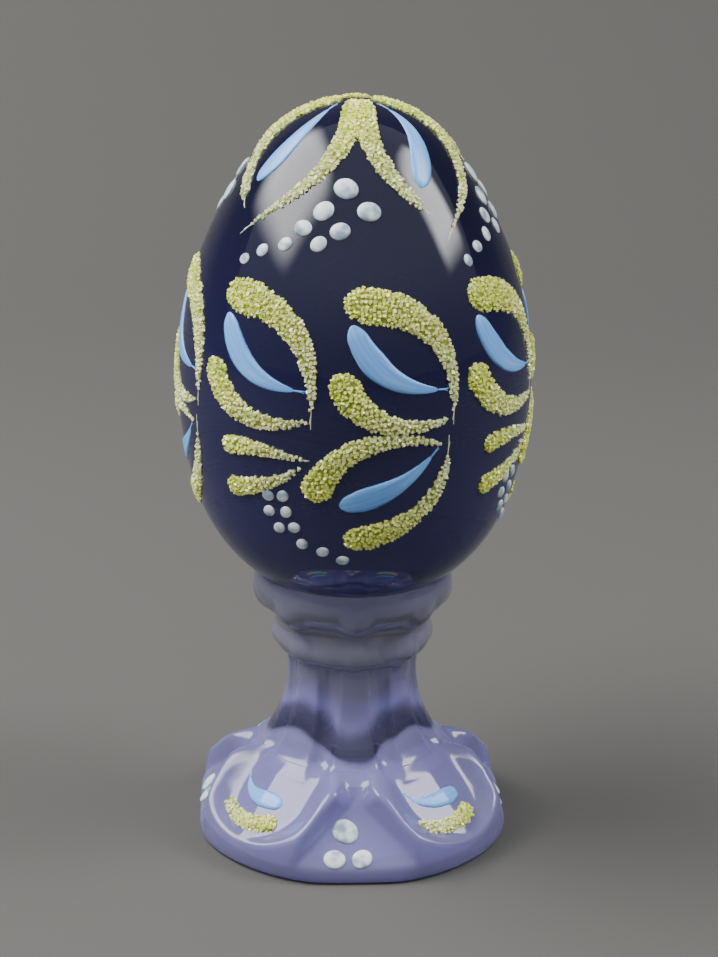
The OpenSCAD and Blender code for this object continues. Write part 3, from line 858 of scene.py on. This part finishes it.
def dot_tree():
    """Geometry Nodes: one low dome on each point, turned to face outwards."""
    tree = bpy.data.node_groups.new("enamel dots", "GeometryNodeTree")
    face = tree.interface
    face.new_socket("Places", in_out="INPUT", socket_type="NodeSocketGeometry")
    flat = face.new_socket("Flatness", in_out="INPUT", socket_type="NodeSocketFloat")
    flat.default_value = 0.3
    face.new_socket("Seed", in_out="INPUT", socket_type="NodeSocketInt")
    face.new_socket("Paint", in_out="INPUT", socket_type="NodeSocketMaterial")
    face.new_socket("Dots", in_out="OUTPUT", socket_type="NodeSocketGeometry")
    into, out = add(tree, "NodeGroupInput"), add(tree, "NodeGroupOutput")
    ball = add(tree, "GeometryNodeMeshUVSphere", {"Segments": 20, "Rings": 10, "Radius": MM})
    shape = add(tree, "ShaderNodeCombineXYZ", {"X": 1.0, "Y": 0.86}, {"Z": into.outputs["Flatness"]})
    dome = add(tree, "GeometryNodeTransform",
               links={"Geometry": ball.outputs["Mesh"], "Scale": shape.outputs["Vector"]})
    facing = add(tree, "GeometryNodeInputNamedAttribute", {"Name": "facing"}, data_type="FLOAT_VECTOR")
    size = add(tree, "GeometryNodeInputNamedAttribute", {"Name": "size"}, data_type="FLOAT")
    stand = add(tree, "FunctionNodeAlignRotationToVector", links={"Vector": facing.outputs["Attribute"]},
                axis="Z")
    angle = add(tree, "FunctionNodeRandomValue", {"Min": (0, 0, -0.7), "Max": (0, 0, 0.7)},
                {"Seed": into.outputs["Seed"]}, data_type="FLOAT_VECTOR")
    twist = add(tree, "FunctionNodeEulerToRotation", links={"Euler": angle.outputs["Value"]})
    turn = add(tree, "FunctionNodeRotateRotation",
               links={"Rotation": stand.outputs["Rotation"], "Rotate By": twist.outputs["Rotation"]},
               rotation_space="LOCAL")
    dots = add(tree, "GeometryNodeInstanceOnPoints",
               links={"Points": into.outputs["Places"], "Instance": dome.outputs["Geometry"],
                      "Rotation": turn.outputs["Rotation"], "Scale": size.outputs["Attribute"]})
    real = add(tree, "GeometryNodeRealizeInstances", links={"Geometry": dots.outputs["Instances"]})
    round_off = add(tree, "GeometryNodeSetShadeSmooth", links={"Geometry": real.outputs["Geometry"]})
    coat = add(tree, "GeometryNodeSetMaterial",
               links={"Geometry": round_off.outputs["Geometry"], "Material": into.outputs["Paint"]})
    tree.links.new(coat.outputs["Geometry"], out.inputs["Dots"])
    return tree


# %% White enamel


def dot_enamel(name, shade, light):
    """Thick white enamel, a little cloudy, with random patches of grey-blue painted shade."""
    material, tree, out = new_material(name)
    coords = add(tree, "ShaderNodeTexCoord")
    shade_patches = add(tree, "ShaderNodeTexNoise", {"Scale": 1 / (1.3 * MM), "Detail": 1},
                 {"Vector": coords.outputs["Object"]})
    blend = add(tree, "ShaderNodeValToRGB", links={"Fac": shade_patches.outputs["Fac"]})
    blend.color_ramp.elements[0].position = 0.35
    blend.color_ramp.elements[0].color = srgb(shade)
    blend.color_ramp.elements[1].position = 0.58
    blend.color_ramp.elements[1].color = srgb(light)
    shader = add(tree, "ShaderNodeBsdfPrincipled", {"Roughness": 0.25, "IOR": 1.5},
                 {"Base Color": blend.outputs["Color"]})
    tree.links.new(shader.outputs["BSDF"], out.inputs["Surface"])
    return material


# The grey-blue is painted shade on the rounded drops.
white_enamel = dot_enamel("white fired enamel", "#93a8ba", "#eaf2f6")

# %% Dots
CROWN_DOTS = [[-1.1, 3], [1.4, 0.4], [-3.5, 0.6], [-1.7, -1.8], [-5.7, -1],
              [-4, -3], [-7.6, -2.4], [-10.1, -2.4], [-12.1, -2.6]]
SPRIG_DOTS = [[2.2, 4.3], [4, 4.4], [2, 2.3], [4.1, 2.4], [2.9, 0.2],
              [4.7, 0.4], [5.2, -1.8], [7.2, -2.9], [8.9, -4.3]]
FOOT_DOTS = [[[-1.3, 4.4], [-2.6, 1.1], [0.6, 1.1]], [[-1.5, 4.3], [-2.6, 1.4], [0.7, 1.3]],
             [[-1.2, 4.4], [-2.5, 1.3], [0.7, 1.4]], [[0.5, 4.5], [-2.4, 1.5], [0.6, 1.3]]]
dots_tree = dot_tree()


def dots_piece(name, flat, sizes, place, flatness, seed):
    """White dots of the given radii, in millimetres, on the given places."""
    points, facing = place(np.array(flat, float), np.full(len(flat), 0.02))
    piece = make_mesh(name, points, [], white_enamel, smooth=False)
    towards = piece.data.attributes.new("facing", "FLOAT_VECTOR", "POINT")
    towards.data.foreach_set("vector", facing.astype(np.float32).ravel())
    size = piece.data.attributes.new("size", "FLOAT", "POINT")
    size.data.foreach_set("value", np.array(sizes, np.float32))
    return grown(piece, dots_tree, Seed=seed, Flatness=flatness, Paint=white_enamel)


for k in range(4):
    for node, flat, sizes, place, flatness in [
            ("crown_dots", CROWN_DOTS, [1.4 - 0.085 * i for i in range(9)],
             egg_board(CROWN_AT + 90 * k, 40, 78), 0.24),
            ("sprig_dots", SPRIG_DOTS, [0.78] * 9, egg_board(SPRIG_AT + 90 * k, -15, 43), 0.35),
            ("foot_dots", FOOT_DOTS[k], [1.65, 1.3, 1.25], panel_board(90 * k), 0.24)]:
        piece = dots_piece(f"{node}_drops_{k + 1}", flat, sizes, place, flatness, seed=k)
        dress(piece, "white_enamel", f"{node}_{k + 1}")
print("dots per quarter:", len(CROWN_DOTS) + len(SPRIG_DOTS) + len(FOOT_DOTS[0]))

# %% [markdown]
# ## Floor and light
#
# A plain paper sweep runs from under the egg up into the background, so there is no horizon
# line. Glass is shown by what it reflects, so the lights are large plain panels with soft
# edges: one on the left and a narrower one on the right. The room around them is as dim as the
# paper near the floor and brighter above, so its edge hardly shows in the egg.

# %% Sweep


def paper(name, colour):
    """Plain matt paper."""
    material, tree, out = new_material(name)
    coords = add(tree, "ShaderNodeTexCoord")
    grain = add(tree, "ShaderNodeTexNoise", {"Scale": 1 / (1.2 * MM), "Detail": 2},
                {"Vector": coords.outputs["Object"]})
    bump = add(tree, "ShaderNodeBump", {"Strength": 0.05, "Distance": 0.0001},
               {"Height": grain.outputs["Fac"]})
    shader = add(tree, "ShaderNodeBsdfPrincipled", {"Base Color": srgb(colour), "Roughness": 0.8},
                 {"Normal": bump.outputs["Normal"]})
    tree.links.new(shader.outputs["BSDF"], out.inputs["Surface"])
    return material


sweep_line = [(-4000, 0), (250, 0)] + [(250 + 250 * math.sin(a), 250 - 250 * math.cos(a))
                                      for a in np.linspace(0.15, math.pi / 2, 10)] + [(500, 1200)]
sweep_points = [(x, y, z) for y, z in sweep_line for x in (-4000, 4000)]
sweep_faces = [(2 * i, 2 * i + 1, 2 * i + 3, 2 * i + 2) for i in range(len(sweep_line) - 1)]
sweep = make_mesh("paper_sweep", sweep_points, sweep_faces, paper("pale grey paper", "#565552"))

# %% Lights
MIDDLE = Vector((0, 0, 0.05))
PANEL_FADE = 0.28


def panel_light(name, azimuth, elevation, distance, size, radiance):
    """A panel that faces the egg and fades towards its edges. Azimuth -90 is its left, 0 the
    viewer's side."""
    data = bpy.data.lights.new(name, "AREA")
    data.shape = "RECTANGLE"
    data.size, data.size_y = size
    data.energy = radiance * math.pi * size[0] * size[1]
    data.use_nodes = True
    tree = data.node_tree
    tree.nodes.clear()
    spot = add(tree, "ShaderNodeNewGeometry")
    corner = add(tree, "ShaderNodeSeparateXYZ", links={"Vector": spot.outputs["Parametric"]})
    edges = []
    for axis in ("X", "Y"):
        aside = add(tree, "ShaderNodeMath", {1: 0.5}, {0: corner.outputs[axis]}, operation="SUBTRACT")
        middle_off = add(tree, "ShaderNodeMath", links={0: aside.outputs[0]}, operation="ABSOLUTE")
        edges.append(add(tree, "ShaderNodeMapRange",
                         {"From Min": 0.5 - PANEL_FADE, "From Max": 0.5, "To Min": 1.0, "To Max": 0.0},
                         {"Value": middle_off.outputs[0]}, interpolation_type="SMOOTHSTEP"))
    both = add(tree, "ShaderNodeMath", links={0: edges[0].outputs[0], 1: edges[1].outputs[0]},
               operation="MULTIPLY")
    glow = add(tree, "ShaderNodeEmission", links={"Strength": both.outputs[0]})
    out = add(tree, "ShaderNodeOutputLight")
    tree.links.new(glow.outputs[0], out.inputs["Surface"])
    light = bpy.data.objects.new(name, data)
    bpy.context.scene.collection.objects.link(light)
    a, e = math.radians(azimuth), math.radians(elevation)
    towards = Vector((math.sin(a) * math.cos(e), -math.cos(a) * math.cos(e), math.sin(e)))
    light.location = MIDDLE + towards * distance
    light.rotation_mode = "QUATERNION"
    light.rotation_quaternion = towards.to_track_quat("Z", "Y")


panel_light("left_panel", -88, 50, 0.6, (0.74, 0.50), 12)
panel_light("right_panel", 83, 42, 0.6, (0.30, 0.44), 13)

# %% Room light
world = bpy.data.worlds.new("studio")
world.use_nodes = True
sky, sky_tree = world.node_tree.nodes["Background"], world.node_tree
sky.inputs["Color"].default_value = srgb("#c9ccd2")
view = add(sky_tree, "ShaderNodeTexCoord")
rise = add(sky_tree, "ShaderNodeSeparateXYZ", links={"Vector": view.outputs["Generated"]})
glow = add(sky_tree, "ShaderNodeMapRange",
           {"From Min": 0.0, "From Max": 0.6, "To Min": 0.3, "To Max": 1.05},
           {"Value": rise.outputs["Z"]}, interpolation_type="SMOOTHSTEP")
sky_tree.links.new(glow.outputs[0], sky.inputs["Strength"])
bpy.context.scene.world = world
